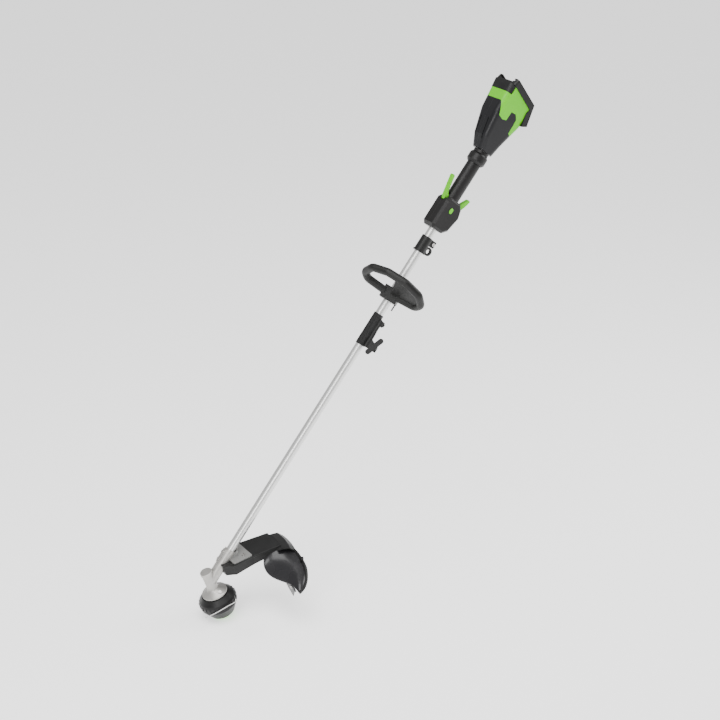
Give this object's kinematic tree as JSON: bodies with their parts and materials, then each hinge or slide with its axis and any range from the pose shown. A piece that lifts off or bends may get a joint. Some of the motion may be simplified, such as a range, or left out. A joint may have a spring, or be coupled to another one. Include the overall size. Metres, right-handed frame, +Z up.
{
  "type": "string trimmer",
  "caption": "Cordless straight-shaft string trimmer with a two-piece tube, bevel-driven bump head, guard with line cutter, loop handle, trigger grip and rear motor housing",
  "frame": {"origin": "centre of the bump knob's ground face", "axes": "+X towards the rear of the trimmer, +Y towards its right side, +Z up with the shaft rising 51 degrees to the rear"},
  "size_m": [1.1196, 0.2634, 1.4901],
  "materials": {
    "tube_aluminium": "satin drawn tube",
    "cast_aluminium": "fine cast, satin",
    "steel": "plain machined steel",
    "plate_grey": "satin grey plate",
    "black_plastic": "fine moulded texture, satin",
    "skirt_plastic": "smooth dark grey",
    "green_plastic": "bright green moulded plastic",
    "line_nylon": "pale nylon line",
    "bushing_plastic": "plain",
    "contact_brass": "bright contacts"
  },
  "bodies": {
    "powerhead": {"upper_tube": "tube_aluminium", "upper_bushings": "bushing_plastic", "coupler_sleeve": "black_plastic", "clamp_bolt": "steel", "strap_clamp": "black_plastic", "strap_bolt": "steel", "grip_left": "black_plastic", "grip_right": "black_plastic", "grip_collar": "black_plastic", "trigger_switch": "black_plastic", "control_pins": "steel", "rear_housing_left": "black_plastic", "rear_housing_right": "black_plastic", "rear_cover": "green_plastic", "housing_screws": "steel", "motor_stator": "steel", "motor_bearings": "steel", "controller_board": "green_plastic", "battery_dock": "black_plastic", "terminal_block": "black_plastic", "terminal_blades": "contact_brass"},
    "boom": {"lower_tube": "tube_aluminium", "lower_bushings": "bushing_plastic", "gear_case": "cast_aluminium", "gear_case_cap": "cast_aluminium", "gear_case_bearings": "steel", "neck_screws": "steel", "grease_plug": "steel", "guard_bracket": "plate_grey", "guard_screws": "steel", "guard": "black_plastic", "guard_skirt": "skirt_plastic", "line_cutter_blade": "steel", "blade_screws": "steel"},
    "head": {"spindle": "steel", "bevel_gear": "steel", "head_housing": "black_plastic", "head_cover": "black_plastic", "line_eyelets": "steel", "bump_spring": "steel", "trimmer_line_left": "line_nylon", "trimmer_line_right": "line_nylon"},
    "bump": {"bump_knob": "green_plastic", "spool": "black_plastic", "wound_line": "line_nylon"},
    "lower_drive": {"lower_drive_shaft": "steel", "bevel_pinion": "steel"},
    "upper_drive": {"upper_drive_shaft": "steel", "motor_rotor": "steel", "motor_fan": "black_plastic"},
    "trigger": {"trigger": "green_plastic"},
    "lock_off_lever": {"lock_off_lever": "green_plastic"},
    "speed_button": {"speed_button": "green_plastic"},
    "battery_latch": {"battery_latch": "black_plastic"},
    "release_button": {"release_button": "black_plastic"},
    "clamp_knob": {"clamp_knob": "black_plastic"},
    "loop_handle": {"loop_handle": "black_plastic", "handle_clamp": "black_plastic", "handle_bolts": "steel", "hex_key": "steel"}
  },
  "joints": [
    {"name": "boom_pull", "type": "slide", "parent": "powerhead", "child": "boom", "axis": [-0.6293, 0, -0.7771], "range_m": [0, 0.045]},
    {"name": "head_spin", "type": "hinge", "parent": "boom", "child": "head", "pos_m": [0, 0, 0], "axis": [-0.3256, 0, 0.9455], "continuous": true},
    {"name": "bump_press", "type": "slide", "parent": "head", "child": "bump", "axis": [-0.3256, 0, 0.9455], "range_m": [0, 0.006], "stiffness_N_per_m": 1500, "springref_m": -0.004, "deforming": ["bump_spring"]},
    {"name": "lower_drive_spin", "type": "hinge", "parent": "boom", "child": "lower_drive", "pos_m": [-0.04037, 0, 0.11724], "axis": [0.6293, 0, 0.7771], "continuous": true},
    {"name": "upper_drive_spin", "type": "hinge", "parent": "powerhead", "child": "upper_drive", "pos_m": [-0.04037, 0, 0.11724], "axis": [0.6293, 0, 0.7771], "continuous": true},
    {"name": "trigger_pull", "type": "hinge", "parent": "powerhead", "child": "trigger", "pos_m": [0.80043, 0, 1.10788], "axis": [0, -1, 0], "range_deg": [0, 12], "stiffness_Nm_per_rad": 0.8, "springref_deg": -14.32},
    {"name": "lock_off_press", "type": "hinge", "parent": "powerhead", "child": "lock_off_lever", "pos_m": [0.76776, 0, 1.15492], "axis": [0, 1, 0], "range_deg": [0, 12], "stiffness_Nm_per_rad": 0.6, "springref_deg": -14.32},
    {"name": "speed_press", "type": "slide", "parent": "powerhead", "child": "speed_button", "axis": [0, 1, 0], "range_m": [0, 0.002], "stiffness_N_per_m": 800, "springref_m": -0.002},
    {"name": "latch_press", "type": "slide", "parent": "powerhead", "child": "battery_latch", "axis": [0.7771, 0, -0.6293], "range_m": [0, 0.003], "stiffness_N_per_m": 1500, "springref_m": -0.003},
    {"name": "release_press", "type": "slide", "parent": "powerhead", "child": "release_button", "axis": [-0.5775, 0.6691, 0.4677], "range_m": [0, 0.003], "stiffness_N_per_m": 1200, "springref_m": -0.002},
    {"name": "clamp_turn", "type": "hinge", "parent": "powerhead", "child": "clamp_knob", "pos_m": [0.50884, -0.02677, 0.74823], "axis": [-0.52, -0.7431, 0.4211], "range_deg": [0, 450]},
    {"name": "handle_slide", "type": "slide", "parent": "powerhead", "child": "loop_handle", "axis": [0.6293, 0, 0.7771], "range_m": [-0.02, 0.08]}
  ],
  "couplings": [
    {"joint": "lower_drive_spin", "follows": "head_spin", "ratio": -1.4286},
    {"joint": "upper_drive_spin", "follows": "head_spin", "ratio": -1.4286}
  ]
}
